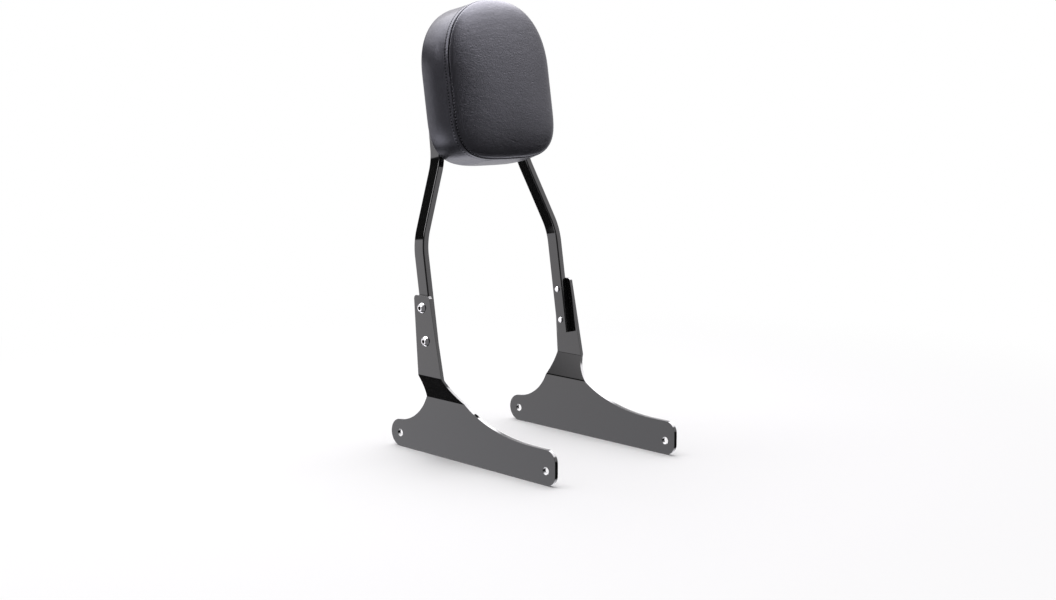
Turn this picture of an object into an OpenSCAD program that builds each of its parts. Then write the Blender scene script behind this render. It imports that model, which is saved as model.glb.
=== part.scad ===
// Padded sissy bar: a bent flat-bar hoop on two joggled side plates, with an upholstered back pad.
// Millimetres. +Z is up, -Y is forwards and +X is the rider's left.
// The origin is the middle of the four strut holes in the side plates.

/* [Hoop] */
// Width of the flat bar, across the bike
bar_w = 9.5; // [8:0.5:12]
// Depth of the flat bar, fore and aft
bar_d = 19; // [16:0.5:25]
// Radius along the four long edges of the bar
bar_edge_r = 1.6; // [0.8:0.1:2.4]
// Outside width across the lower legs
leg_span = 252; // [236:1:280]
// Angle at which the hoop leans back
lean = 9; // [4:0.5:14]
// Set-back of the lower plate screw from the middle of the strut holes
hoop_setback = 63; // [45:1:80]
// Height of the lower plate screw over the strut holes
hoop_rise = 136.5; // [125:0.5:150]
// Length of leg below the lower plate screw
leg_tail = 18; // [14:1:28]
// Height of the lower bends over the lower plate screw
lower_bend_h = 127; // [110:1:150]
// Distance from the lower bends up to the upper bends
bend_pitch = 105; // [90:1:115]
// Inward slant of the legs between the two bends
middle_slant = 23.3; // [16:0.1:26]
// Inward slant of the legs above the upper bends
upper_slant = 2.5; // [0:0.1:4]
// Bend radius of the legs, at the middle of the bar
side_bend_r = 85; // [60:1:100]
// Bend radius of the two top corners, at the middle of the bar
top_bend_r = 38; // [30:1:44]
// Distance from the upper strap up to the hoop's top
hoop_top_margin = 60; // [54:1:70]

/* [Cross straps] */
// Height of the flat straps between the upper legs
strap_h = 25; // [20:1:30]
// Thickness of the straps
strap_t = 4.8; // [3:0.1:6]
// Distance from the upper bends up to the lower strap
strap_margin = 34; // [29:1:45]
// Distance between the two straps
strap_pitch = 79; // [60:1:82]

/* [Side plates] */
// Thickness of the side plates
plate_t = 5; // [4:0.5:6]
// Distance by which each foot steps in from its upper blade
joggle = 18; // [12:0.5:24]
// Slant of the step between blade and foot
joggle_slant = 30; // [24:1:38]
// Inside radius of the plate's two bends
fold_r = 2; // [1:0.5:4]
// Height of the upper fold over the strut holes
fold_h = 90; // [84:0.5:96]
// Height of the blade's top edge over the upper screw
blade_margin = 16; // [12:0.5:22]
// Reach of the blade's top edge in front of the bar's middle
blade_top_front = 16.8; // [14:0.2:20]
// Reach of the blade's top edge behind the bar's middle
blade_top_rear = 13.4; // [12:0.2:18]
// Corner radius of the blade's top
blade_corner_r = 5; // [2:0.5:7]
// Half width of the blade at the upper fold
blade_root = 22.6; // [19:0.2:26]
// Distance between the front and rear strut holes of one foot
strut_pitch = 278; // [262:1:290]
// Diameter of the strut holes
strut_hole_d = 10; // [8:0.5:12]
// Radius of the foot's rounded rear end
foot_end_r = 18.5; // [15:0.5:20]
// Height of the foot's level front edge over the strut holes
foot_front_h = 26.5; // [22:0.5:32]
// Distance from the front strut hole to the foot's front end
foot_toe = 16; // [13:0.5:24]
// Corner radius of the foot's front end
toe_corner_r = 15; // [8:0.5:18]
// Length of the foot's level edge behind the front strut hole
toe_level = 22; // [10:1:40]
// Depth of the concave front flank
front_flank_h = 72.5; // [66:0.5:78]
// Depth of the concave rear flank
rear_flank_h = 65; // [58:0.5:70]

/* [Plate screws] */
// Distance between the two plate screws, along the bar
plate_screw_pitch = 43.2; // [38:0.2:50]
// Thread diameter of the plate screws
plate_screw_d = 7.9; // [6:0.1:9]
// Head diameter of the plate screws
plate_head_d = 14; // [12:0.1:16]
// Head height of the plate screws
plate_head_h = 4.2; // [3:0.1:5]
// Width across the flats of the hexagon socket
plate_socket_w = 4.8; // [4:0.1:6]
// Depth of the hexagon socket
plate_socket_h = 2.6; // [1.5:0.1:3]
// Length of thread that stands proud inside the hoop
plate_screw_proud = 1.8; // [0:0.1:4]

/* [Pad] */
// Half width of the front panel at its seam
pad_half_w = 88; // [84:0.5:94]
// Distance from the lower strap down to the front panel's lower edge
pad_drop = 41; // [32:1:50]
// Height of the front panel, seam to seam
pad_h = 208.5; // [202:0.5:220]
// Height of the rounded top of the outline
pad_crown_h = 93; // [75:1:105]
// Height of the rounded bottom of the outline
pad_heel_h = 69; // [55:1:85]
// Squareness of the top corners, where 2 is an ellipse
pad_top_power = 2.3; // [2:0.1:3]
// Squareness of the bottom corners
pad_heel_power = 3.5; // [2.5:0.1:5]
// Depth of the side band from the pad's back edge to the front seam
pad_band_d = 44; // [36:1:54]
// Distance by which the back edge stands outside the front seam, at the sides
pad_side_flare = 10.5; // [6:0.5:13]
// The same distance at the pad's top, where the band leans inwards
pad_top_flare = -2; // [-4:0.5:4]
// The same distance at the pad's lower edge
pad_heel_flare = 4.5; // [2:0.5:8]
// Height of the front panel's crown over the seam
pad_crown = 14; // [8:0.5:20]
// Thickness of the upholstery vinyl
vinyl_t = 1.2; // [0.8:0.1:2]
// Width of the vinyl flap turned in behind the base board
flap_w = 18; // [12:1:24]
// Thickness of the base board
board_t = 9.5; // [9:0.5:13]
// Thickness of the back panel
back_panel_t = 2.5; // [1.5:0.1:4]
// Distance from the pad's back edge in to the back panel's edge
back_panel_inset = 5; // [3:0.5:9]

/* [Pad hardware] */
// Distance of the pad screws from the legs, at the upper strap
pad_screw_margin = 28.3; // [14:0.1:36]
// Thread diameter of the pad screws
pad_screw_d = 6.3; // [5:0.1:7]
// Length of the pad screws past the front of the base board
pad_screw_proud = 0.5; // [0:0.1:3]
// Width across the flats of the pad screw heads
pad_head_w = 11; // [10:0.5:13]
// Height of the pad screw heads
pad_head_h = 4; // [3:0.5:5]
// Outside diameter of the washers
washer_d = 16; // [14:0.5:20]
// Thickness of the washers
washer_t = 1.5; // [1:0.1:2]
// Flange diameter of the tee nuts
tee_flange_d = 19; // [16:0.5:24]
// Flange thickness of the tee nuts
tee_flange_t = 1.5; // [1:0.1:2]
// Barrel wall of the tee nuts
tee_wall = 0.9; // [0.7:0.1:1.4]
// Distance of the tee nuts' ends from the back of the base board
tee_end_margin = 1.5; // [0.5:0.1:4]

/* [Hidden] */
$fn = 64;
corner_step = 7.5;

thread_clearance = 0.1;
hole_clearance = 0.6;
soft_clearance = 0.3;
over = 1;
left = 1;
right = -1;
gloss_black = [0.09, 0.09, 0.1];
vinyl_grey = [0.24, 0.24, 0.26];
board_brown = [0.55, 0.42, 0.28];
foam_cream = [0.85, 0.82, 0.7];

// The hoop's path, from the lower plate screw up along the middle of the left leg
upper_bend_h = lower_bend_h + bend_pitch;
lower_strap_h = upper_bend_h + strap_margin;
upper_strap_h = lower_strap_h + strap_pitch;
leg_x = leg_span / 2 - bar_w / 2;
middle_x = leg_x - bend_pitch * tan(middle_slant);
top_h = upper_strap_h + hoop_top_margin - bar_w / 2;
top_x = middle_x - (top_h - upper_bend_h) * tan(upper_slant);
bar_edge_step = 18;
side_bend_step = 3.9;
top_bend_step = 6.25;

// The straps stand between the legs, flush with the hoop's front
hoop_front = bar_d / 2;
strap_back = hoop_front - strap_t;

// The side plates
blade_x = leg_span / 2 + plate_t;
foot_x = blade_x - joggle;
lower_fold_h = fold_h - joggle / tan(joggle_slant);
blade_top_h = hoop_rise + plate_screw_pitch * cos(lean) + blade_margin;
flank_start = 6.4;
rear_flank_overrun = 4.5;
plate_screw_l = plate_t + bar_w + plate_screw_proud;
plate_head_rim = 0.4;
screw_tip = 0.8;

// The pad's layers, as distances in front of the hoop's middle
panel_back = hoop_front;
band_back = panel_back + back_panel_t;
board_back = band_back + vinyl_t;
board_front = board_back + board_t;
seam = band_back + pad_band_d;
band_edge_r = 1.5;
pad_mid_h = lower_strap_h - pad_drop + pad_heel_h;
pad_straight_h = pad_h - pad_heel_h - pad_crown_h;
pad_corner_steps = 12;
band_steps = 5;
crown_steps = 6;
crown_power = 3;
crown_end = 84;
tee_barrel_d = pad_screw_d + thread_clearance + 2 * tee_wall;
tee_barrel_l = board_t - tee_end_margin;
pad_screw_l = washer_t + strap_t + board_front - hoop_front + pad_screw_proud;

// Place fore and aft of the bar's middle at a height over the strut holes
function bar_y(z) = hoop_setback + (z - hoop_rise) * tan(lean);
// Inner face of the upper leg at a height over the lower plate screw
function leg_inside(h) = middle_x - (h - upper_bend_h) * tan(upper_slant) - bar_w / 2 / cos(upper_slant);

function unit(v) = v / norm(v);
function turned(v, a) = [v[0] * cos(a) - v[1] * sin(a), v[0] * sin(a) + v[1] * cos(a)];
// One corner of an outline as an arc of radius r, with a point at least every step degrees
function corner(p0, p1, p2, r, step) =
    r == 0 ? [p1] :
    let (
        into = unit(p1 - p0),
        out = unit(p2 - p1),
        bend = atan2(cross(into, out), into * out),
        inward = [-into[1], into[0]] * sign(bend),
        centre = p1 - into * r * abs(tan(bend / 2)) + inward * r,
        steps = max(2, ceil(abs(bend) / step))
    )
    [for (i = [0:steps]) centre - turned(inward, bend * i / steps) * r];
// A closed outline from points of the form [x, y, corner radius]
function rounded(points, step = corner_step) = [
    for (i = [0:len(points) - 1])
        let (
            n = len(points),
            before = points[(i + n - 1) % n],
            here = points[i],
            after = points[(i + 1) % n]
        )
        each corner([before[0], before[1]], [here[0], here[1]], [after[0], after[1]], here[2], step)
];
// Points of a quarter of an ellipse, as sharp corners of an outline
function flank(centre, run, rise, from, to, steps = 20) = [
    for (i = [0:steps])
        let (a = from + (to - from) * i / steps)
        [centre[0] + run * cos(a), centre[1] - rise * sin(a), 0]
];

// A closed skin through rings of equal length
module loft(rings) {
    count = len(rings[0]);
    last = len(rings) - 1;
    polyhedron(
        points = [for (r = rings) each r],
        faces = concat(
            [[for (i = [0:count - 1]) i]],
            [[for (i = [count - 1:-1:0]) last * count + i]],
            [
                for (k = [0:last - 1], i = [0:count - 1])
                    let (a = k * count + i, b = k * count + (i + 1) % count)
                    each [[a, a + count, b], [b, a + count, b + count]]
            ]
        )
    );
}

// Puts its children in the leaning frame of the hoop, with its origin between the lower plate screws
module on_hoop() {
    translate([0, hoop_setback, hoop_rise]) rotate([-lean, 0, 0]) children();
}

// Puts its children on one pad fixing, with +Z pointing forwards and its zero at the hoop's middle
module at_pad_fixing(side, height) {
    pad_screw_x = leg_inside(upper_strap_h) - pad_screw_margin;
    on_hoop() translate([side * pad_screw_x, 0, height]) rotate([90, 0, 0]) children();
}

// Puts its children on one plate screw, with +Z pointing outwards and its zero at the plate's outer face
module at_plate_screw(side, height) {
    on_hoop() translate([side * blade_x, 0, height]) rotate([0, side * 90, 0]) children();
}

// Outline of the bar, with its outer side towards +X
bar_outline = rounded([
    for (p = [[1, -1], [1, 1], [-1, 1], [-1, -1]]) [p[0] * bar_w / 2, p[1] * bar_d / 2, bar_edge_r]
], bar_edge_step);
// One bend of the bar as stations [x, height, heading], where a heading of 0 is up and 90 is towards -X
function bend(corner_x, corner_h, from, to, r, step) =
    let (
        side = sign(to - from),
        trim = r * tan(abs(to - from) / 2),
        start = [corner_x + trim * sin(from), corner_h - trim * cos(from)],
        centre = start - [cos(from), sin(from)] * r * side,
        steps = ceil(abs(to - from) / step)
    )
    [
        for (i = [0:steps])
            let (heading = from + (to - from) * i / steps)
            [each centre + [cos(heading), sin(heading)] * r * side, heading]
    ];
left_path = concat(
    [[leg_x, -leg_tail, 0]],
    bend(leg_x, lower_bend_h, 0, middle_slant, side_bend_r, side_bend_step),
    bend(middle_x, upper_bend_h, middle_slant, upper_slant, side_bend_r, side_bend_step),
    bend(top_x, top_h, upper_slant, 90, top_bend_r, top_bend_step)
);
right_path = [
    for (i = [len(left_path) - 1:-1:0])
        [-left_path[i][0], left_path[i][1], 180 - left_path[i][2]]
];
function bar_ring(station) = [
    for (p = bar_outline)
        [station[0] + p[0] * cos(station[2]), p[1], station[1] + p[0] * sin(station[2])]
];

module hoop() {
    color(gloss_black) difference() {
        on_hoop() loft([for (station = concat(left_path, right_path)) bar_ring(station)]);
        for (side = [left, right], height = [0, plate_screw_pitch])
            at_plate_screw(side, height)
                translate([0, 0, -plate_t - bar_w - over])
                    cylinder(d = plate_screw_d + thread_clearance, h = bar_w + 2 * over);
    }
}

module cross_strap(height) {
    low = height - strap_h / 2;
    high = height + strap_h / 2;
    color(gloss_black) difference() {
        on_hoop() translate([0, -strap_back, 0]) rotate([90, 0, 0]) linear_extrude(strap_t)
            polygon([
                [-leg_inside(low), low], [leg_inside(low), low],
                [leg_inside(high), high], [-leg_inside(high), high]
            ]);
        for (side = [left, right])
            at_pad_fixing(side, height)
                translate([0, 0, strap_back - over])
                    cylinder(d = pad_screw_d + hole_clearance, h = strap_t + 2 * over);
    }
}
module lower_cross_strap() cross_strap(lower_strap_h);
module upper_cross_strap() cross_strap(upper_strap_h);

// Side view of a plate: a blade that narrows upwards, on a long foot with two concave flanks
module plate_outline() {
    front_centre = [-strut_pitch / 2 + toe_level, foot_front_h + front_flank_h];
    rear_centre = [strut_pitch / 2 + rear_flank_overrun, foot_end_r + rear_flank_h];
    front_run = (bar_y(fold_h) - blade_root - front_centre[0]) / cos(flank_start);
    rear_run = rear_centre[0] - bar_y(fold_h) - blade_root;
    toe_y = -strut_pitch / 2 - foot_toe;
    heel_y = strut_pitch / 2 + foot_end_r;
    top_y = bar_y(blade_top_h);
    polygon(rounded(concat(
        [
            [top_y - blade_top_front, blade_top_h, blade_corner_r],
            [top_y + blade_top_rear, blade_top_h, blade_corner_r]
        ],
        flank(rear_centre, -rear_run, rear_flank_h, 0, 90 - asin(rear_flank_overrun / rear_run)),
        [
            [heel_y, foot_end_r, foot_end_r],
            [heel_y, -foot_end_r, foot_end_r],
            [toe_y, -foot_end_r, toe_corner_r],
            [toe_y, foot_front_h, toe_corner_r]
        ],
        flank(front_centre, front_run, front_flank_h, 90, flank_start)
    )));
}

// End view of the left plate: the blade, the slanted step and the foot, with both folds rounded
module plate_section() {
    shift = plate_t * tan(joggle_slant / 2);
    polygon(rounded([
        [blade_x, blade_top_h + over, 0],
        [blade_x - plate_t, blade_top_h + over, 0],
        [blade_x - plate_t, fold_h - shift, fold_r],
        [foot_x - plate_t, lower_fold_h - shift, fold_r + plate_t],
        [foot_x - plate_t, -foot_end_r - over, 0],
        [foot_x, -foot_end_r - over, 0],
        [foot_x, lower_fold_h, fold_r],
        [blade_x, fold_h, fold_r + plate_t]
    ]));
}

module side_plate(side) {
    reach = strut_pitch;
    color(gloss_black) mirror([side == left ? 0 : 1, 0, 0]) difference() {
        intersection() {
            rotate([90, 0, 90]) linear_extrude(blade_x + over) plate_outline();
            translate([0, reach, 0]) rotate([90, 0, 0]) linear_extrude(2 * reach) plate_section();
        }
        for (height = [0, plate_screw_pitch])
            at_plate_screw(left, height)
                translate([0, 0, -plate_t - over])
                    cylinder(d = plate_screw_d + hole_clearance, h = plate_t + 2 * over);
        for (end = [-1, 1])
            translate([foot_x - plate_t - over, end * strut_pitch / 2, 0])
                rotate([0, 90, 0]) cylinder(d = strut_hole_d, h = plate_t + 2 * over);
    }
}
module left_side_plate() side_plate(left);
module right_side_plate() side_plate(right);

// Button head screw, from the plate's outer face in to its end inside the hoop
module plate_screw(side, height) {
    head_r = plate_head_d / 2;
    crown_r = head_r / 2;
    run = head_r * head_r - crown_r * crown_r;
    ball_z = (run / (plate_head_rim - plate_head_h) + plate_head_rim + plate_head_h) / 2;
    ball_r = norm([head_r, plate_head_rim - ball_z]);
    color("silver") at_plate_screw(side, height) difference() {
        union() {
            intersection() {
                cylinder(r = head_r, h = plate_head_h);
                translate([0, 0, ball_z]) sphere(r = ball_r);
            }
            translate([0, 0, screw_tip - plate_screw_l])
                cylinder(d = plate_screw_d, h = plate_screw_l - screw_tip);
            translate([0, 0, -plate_screw_l])
                cylinder(d1 = plate_screw_d - 2 * screw_tip, d2 = plate_screw_d, h = screw_tip);
        }
        translate([0, 0, plate_head_h - plate_socket_h])
            cylinder(d = plate_socket_w / cos(30), h = plate_socket_h + over, $fn = 6);
    }
}
module left_lower_plate_screw() plate_screw(left, 0);
module left_upper_plate_screw() plate_screw(left, plate_screw_pitch);
module right_lower_plate_screw() plate_screw(right, 0);
module right_upper_plate_screw() plate_screw(right, plate_screw_pitch);

// A quarter of the pad's outline, which is squarer than an ellipse where its power is over 2
function pad_quarter(half_w, height, power, from) = [
    for (i = [0:pad_corner_steps - 1])
        let (a = from + 90 * i / pad_corner_steps)
        [
            half_w * sign(cos(a)) * pow(abs(cos(a)), 2 / power),
            height * sign(sin(a)) * pow(abs(sin(a)), 2 / power)
        ]
];
// The pad's outline, counted upwards from the lower plate screw. Its flare is a share, from 0 at the seam
// to 1 at the back edge, and its inset is a distance inwards.
function pad_outline(flare, inset, shrink = 1) =
    let (
        half_w = (pad_half_w + pad_side_flare * flare - inset) * shrink,
        crown_h = (pad_crown_h + pad_top_flare * flare - inset) * shrink,
        heel_h = (pad_heel_h + pad_heel_flare * flare - inset) * shrink,
        middle = pad_mid_h + pad_straight_h / 2,
        rise = pad_straight_h / 2 * shrink
    )
    concat(
        [for (p = pad_quarter(half_w, crown_h, pad_top_power, 0)) p + [0, middle + rise]],
        [for (p = pad_quarter(half_w, crown_h, pad_top_power, 90)) p + [0, middle + rise]],
        [[-half_w, middle + rise]],
        [for (p = pad_quarter(half_w, heel_h, pad_heel_power, 180)) p + [0, middle - rise]],
        [for (p = pad_quarter(half_w, heel_h, pad_heel_power, 270)) p + [0, middle - rise]],
        [[half_w, middle - rise]]
    );
function ring(outline, forward) = [for (p = outline) [p[0], -forward, p[1]]];

// Rings of the side band, which bulges from its rounded back edge in to the seam
function band_rings(inset) = concat(
    [ring(pad_outline(1, band_edge_r + inset), band_back)],
    [
        for (i = [0:band_steps])
            let (share = i / band_steps, d = band_edge_r + (pad_band_d - band_edge_r) * share)
            ring(pad_outline(1 - share * share, inset), band_back + d)
    ]
);
// Rings of the crowned front, from the seam to the middle of the panel
function crown_rings(inset) = [
    for (i = [0:crown_steps])
        let (
            a = crown_end * i / crown_steps,
            share = cos(a),
            rise = pow(1 - pow(share, crown_power), 1 / 2)
        )
        ring(pad_outline(0, inset, share), seam + (pad_crown - inset) * rise)
];

// A flat board cut to the pad's outline, between two distances in front of the hoop's middle
module pad_board(inset, back, front) {
    on_hoop() translate([0, -back, 0]) rotate([90, 0, 0]) linear_extrude(front - back)
        polygon(pad_outline(1, inset));
}

module pad_holes(diameter, back, front) {
    for (side = [left, right], height = [lower_strap_h, upper_strap_h])
        at_pad_fixing(side, height) translate([0, 0, back - over])
            cylinder(d = diameter, h = front - back + 2 * over);
}

module pad_base_board() {
    color(board_brown) difference() {
        pad_board(band_edge_r + vinyl_t + soft_clearance, board_back, board_front);
        pad_holes(tee_barrel_d + thread_clearance * 2, board_back, board_front);
    }
}

module pad_foam() {
    inset = vinyl_t + soft_clearance;
    color(foam_cream) difference() {
        on_hoop() loft(concat(band_rings(inset), crown_rings(inset)));
        on_hoop() translate([0, -board_front, pad_mid_h]) rotate([-90, 0, 0])
            translate([-pad_h, -pad_h, 0]) cube([2 * pad_h, 2 * pad_h, pad_h]);
        for (side = [left, right], height = [lower_strap_h, upper_strap_h])
            at_pad_fixing(side, height) translate([0, 0, board_front - over]) {
                cylinder(d = tee_flange_d + 2 * soft_clearance, h = tee_flange_t + soft_clearance + over);
                cylinder(d = pad_screw_d + 2 * soft_clearance, h = pad_screw_proud + soft_clearance + over);
            }
    }
}

module pad_front_panel() {
    color(vinyl_grey) difference() {
        on_hoop() loft(crown_rings(0));
        on_hoop() loft(concat([ring(pad_outline(0, vinyl_t), seam - over)], crown_rings(vinyl_t)));
    }
}

module pad_side_band() {
    color(vinyl_grey) difference() {
        on_hoop() loft(band_rings(0));
        on_hoop() loft(concat(
            [ring(pad_outline(1, band_edge_r + vinyl_t), board_back)],
            [for (i = [2:band_steps + 1]) band_rings(vinyl_t)[i]],
            [ring(pad_outline(0, vinyl_t), seam + over)]
        ));
        pad_board(flap_w, band_back - over, board_back + over);
    }
}

module pad_back_panel() {
    color(vinyl_grey) difference() {
        pad_board(back_panel_inset, panel_back, band_back);
        pad_holes(pad_screw_d + hole_clearance, panel_back, band_back);
    }
}

module tee_nut(side, height) {
    color("silver") at_pad_fixing(side, height) difference() {
        union() {
            translate([0, 0, board_front]) cylinder(d = tee_flange_d, h = tee_flange_t);
            translate([0, 0, board_front - tee_barrel_l]) cylinder(d = tee_barrel_d, h = tee_barrel_l);
        }
        translate([0, 0, board_front - tee_barrel_l - over])
            cylinder(d = pad_screw_d + thread_clearance, h = tee_barrel_l + tee_flange_t + 2 * over);
    }
}
module left_lower_tee_nut() tee_nut(left, lower_strap_h);
module left_upper_tee_nut() tee_nut(left, upper_strap_h);
module right_lower_tee_nut() tee_nut(right, lower_strap_h);
module right_upper_tee_nut() tee_nut(right, upper_strap_h);

module pad_screw(side, height) {
    head_front = strap_back - washer_t;
    color("silver") at_pad_fixing(side, height) {
        translate([0, 0, head_front - pad_head_h])
            cylinder(d = pad_head_w / cos(30), h = pad_head_h, $fn = 6);
        translate([0, 0, head_front - over]) cylinder(d = pad_screw_d, h = pad_screw_l + over);
    }
}
module left_lower_pad_screw() pad_screw(left, lower_strap_h);
module left_upper_pad_screw() pad_screw(left, upper_strap_h);
module right_lower_pad_screw() pad_screw(right, lower_strap_h);
module right_upper_pad_screw() pad_screw(right, upper_strap_h);

module washer(side, height) {
    color("silver") at_pad_fixing(side, height) translate([0, 0, strap_back - washer_t]) difference() {
        cylinder(d = washer_d, h = washer_t);
        translate([0, 0, -over]) cylinder(d = pad_screw_d + hole_clearance, h = washer_t + 2 * over);
    }
}
module left_lower_washer() washer(left, lower_strap_h);
module left_upper_washer() washer(left, upper_strap_h);
module right_lower_washer() washer(right, lower_strap_h);
module right_upper_washer() washer(right, upper_strap_h);

hoop();
lower_cross_strap();
upper_cross_strap();
left_side_plate();
right_side_plate();
left_lower_plate_screw();
left_upper_plate_screw();
right_lower_plate_screw();
right_upper_plate_screw();
pad_base_board();
pad_foam();
pad_front_panel();
pad_side_band();
pad_back_panel();
left_lower_tee_nut();
left_upper_tee_nut();
right_lower_tee_nut();
right_upper_tee_nut();
left_lower_pad_screw();
left_upper_pad_screw();
right_lower_pad_screw();
right_upper_pad_screw();
left_lower_washer();
left_upper_washer();
right_lower_washer();
right_upper_washer();
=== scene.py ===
import math

import bmesh
import bpy
import numpy as np
from mathutils import Matrix, Vector


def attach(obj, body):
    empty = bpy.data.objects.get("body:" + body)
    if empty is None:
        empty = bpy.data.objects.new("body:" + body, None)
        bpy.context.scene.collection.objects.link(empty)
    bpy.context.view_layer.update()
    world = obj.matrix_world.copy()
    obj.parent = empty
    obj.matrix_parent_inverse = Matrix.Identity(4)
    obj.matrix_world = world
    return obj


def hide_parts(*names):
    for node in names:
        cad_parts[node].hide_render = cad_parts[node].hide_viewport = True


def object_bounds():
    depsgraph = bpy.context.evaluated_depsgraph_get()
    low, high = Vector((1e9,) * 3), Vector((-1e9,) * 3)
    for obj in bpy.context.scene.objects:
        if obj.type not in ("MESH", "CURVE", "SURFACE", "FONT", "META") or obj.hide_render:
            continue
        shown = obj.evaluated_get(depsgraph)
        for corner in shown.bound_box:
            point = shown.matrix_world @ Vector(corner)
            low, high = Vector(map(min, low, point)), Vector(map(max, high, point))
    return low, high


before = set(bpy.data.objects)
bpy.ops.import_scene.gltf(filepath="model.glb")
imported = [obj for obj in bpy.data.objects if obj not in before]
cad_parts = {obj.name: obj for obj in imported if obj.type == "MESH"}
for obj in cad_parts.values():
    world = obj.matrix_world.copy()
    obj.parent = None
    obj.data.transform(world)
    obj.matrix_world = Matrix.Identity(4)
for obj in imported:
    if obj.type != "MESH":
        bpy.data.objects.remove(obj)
cad_low, cad_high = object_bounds()

# The hoop's own frame leans back about the lower plate screws
LEAN = math.radians(9)
HOOP_SETBACK = 0.063
HOOP_RISE = 0.1365

# The hoop's bar and its path, up the middle of the left leg
BAR_WIDTH = 0.0095
BAR_DEPTH = 0.019
BAR_EDGE_RADIUS = 0.0016
LEG_X = 0.12125
LEG_TAIL = 0.018
LOWER_BEND = 0.127
UPPER_BEND = 0.232
MIDDLE_SLANT = math.radians(23.3)
UPPER_SLANT = math.radians(2.5)
SIDE_BEND_RADIUS = 0.085
TOP_BEND_RADIUS = 0.038
HOOP_TOP = 0.405
BEND_STEPS = 20
EDGE_STEPS = 5

# How the solids' sharp edges are eased: the angle that counts as sharp, and a radius for each kind
# of piece
SHARP_EDGE = math.radians(35)
SMOOTH_EDGE = math.radians(32)
FLAT_FACE = math.radians(0.4)
SAME_POINT = 2e-6
PLATE_EDGE = 0.0006
STRAP_EDGE = 0.0005
PLATE_SCREW_EDGE = 0.00015
PAD_SCREW_EDGE = 0.0003
WASHER_EDGE = 0.0002
BACK_PANEL_EDGE = 0.0008

# The sockets of the button head screws through the side plates, where the chrome gets painted shade
SOCKET_FLATS = 0.0048
SOCKET_DEPTH = 0.0026
SOCKET_MARGIN = 0.0005
SOCKET_RIM = 0.0003
SOCKET_REACH = 0.62

# The pad's cover: its seam outline, side band and crowned front
PAD_HALF_WIDTH = 0.088
PAD_LOW = 0.225
PAD_HEIGHT = 0.2085
PAD_CROWN_HEIGHT = 0.093
PAD_HEEL_HEIGHT = 0.069
PAD_TOP_POWER = 2.3
PAD_HEEL_POWER = 3.5
PAD_BACK = 0.012
BAND_DEPTH = 0.044
SIDE_FLARE = 0.0105
TOP_FLARE = -0.002
HEEL_FLARE = 0.0045
BAND_EDGE_RADIUS = 0.0025
FLAP_WIDTH = 0.018
CROWN_RISE = 0.0125
CROWN_POWER = 2.3
OUTLINE_POINTS = 1201

# The rows of points of the fine and the coarse cover: places on the band, and degrees round the crown,
# each given as from, to and how many
FLAP_ROWS = 4
EDGE_ROWS = 5
BAND_ROWS = ((BAND_EDGE_RADIUS, 0.0352, 13), (0.0362, 0.0412, 15), (0.0415, BAND_DEPTH, 9))
CROWN_ROWS = ((0.9, 9, 10), (11, 89, 21))
COARSE_BAND_ROWS = ((BAND_EDGE_RADIUS, BAND_DEPTH, 12),)
COARSE_CROWN_ROWS = ((4, 87, 20),)

# The seam, with its crease and the allowance turned in behind it, measured along the vinyl from the seam
ALLOWANCE_WIDTH = 0.0056
ALLOWANCE_RISE = 0.0005
ALLOWANCE_BACK_EASE = 0.0005
ALLOWANCE_FRONT = 0.0006
ALLOWANCE_FRONT_EASE = 0.00018
CREASE_DEPTH = 0.0030
SIDE_CREASE_DEPTH = 0.0008
CREASE_WIDTH = 0.0008
SIDE_CREASE_WIDTH = 0.0005

# The stitches and their needle holes. Each stitch has these columns of points, as shares of its length.
# The front's holes show on the pad's lower half, and the seam's own stitches sink in its ends.
STITCHES = 164
STITCH_COLUMNS = (0, 0.06, 0.13, 0.28, 0.5, 0.72, 0.87, 0.94)
STITCH_SEGMENTS = 8
STITCH_RINGS = 10
THREAD_THICKNESS = 0.00055
NEEDLE_HOLE = 0.0007
TOPSTITCH_BACK = 0.0052
TOPSTITCH_LENGTH = 0.0026
TOPSTITCH_LIFT = 0.00005
TOPSTITCH_HOLE_DEPTH = 0.00015
# How strongly painted shade darkens the topstitch's needle holes
TOPSTITCH_HOLE_SHADE = 4.5
SEAM_STITCH_PLACE = 0.0003
SEAM_STITCH_LENGTH = 0.0023
SEAM_STITCH_LIFT = -0.0001
SEAM_STITCH_SINK = 0.0030
UPPER_SINK_POWER = 1.2
LOWER_SINK_POWER = 2
FRONT_HOLE_PLACE = 0.0014
FRONT_HOLE_DEPTH = 0.0004
# How strongly painted shade darkens the front's needle holes
FRONT_HOLE_SHADE = 1.8
FRONT_HOLE_START = 0.1
FRONT_HOLE_FADE = 0.08

# Puckers on both sides of the seam, one at each hole: place and width across the seam
PUCKERS = ((-0.0015, 0.0016), (0.0018, 0.0012))
PUCKER_DEPTH = 0.00012
PUCKER_LENGTH = 0.0010

# A shallow channel behind the allowance at the upper corners: its place in shares of a turn from the top
CHANNEL_BACK = 0.014
CHANNEL_WIDTH = 0.006
CHANNEL_DEPTH = 0.0004
CHANNEL_CORNER = 0.15
CHANNEL_LENGTH = 0.05

# Folds of the band at the pad's lower and upper corners, each mirrored: the share of a turn at its
# middle, its slant over the band's depth, its width as a share of a turn and its rise
BAND_FOLDS = ((0.655, 0.02, 0.010, 0.0011), (0.635, 0.015, 0.009, -0.0014), (0.612, 0.01, 0.012, 0.0008),
              (0.375, 0.0, 0.030, -0.0007), (0.33, 0.0, 0.018, 0.0004))
FOLD_START_POWER = 0.75
FOLD_END = 0.88

# The cloth simulation of the stuffed cover, which is held at the seam and at the board
CLOTH_FRAMES = 20
CLOTH_PRESSURE = 4
CLOTH_QUALITY = 8
CLOTH_MASS = 0.4
CLOTH_STRETCH = 60
CLOTH_SHEAR = 25
CLOTH_BENDING = 2
SEAM_HOLD = 0.85
SEAM_HOLD_WIDTH = 0.004
SWELL_LIMIT = 0.003
SMOOTHINGS = 14
LAP = 4

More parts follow.
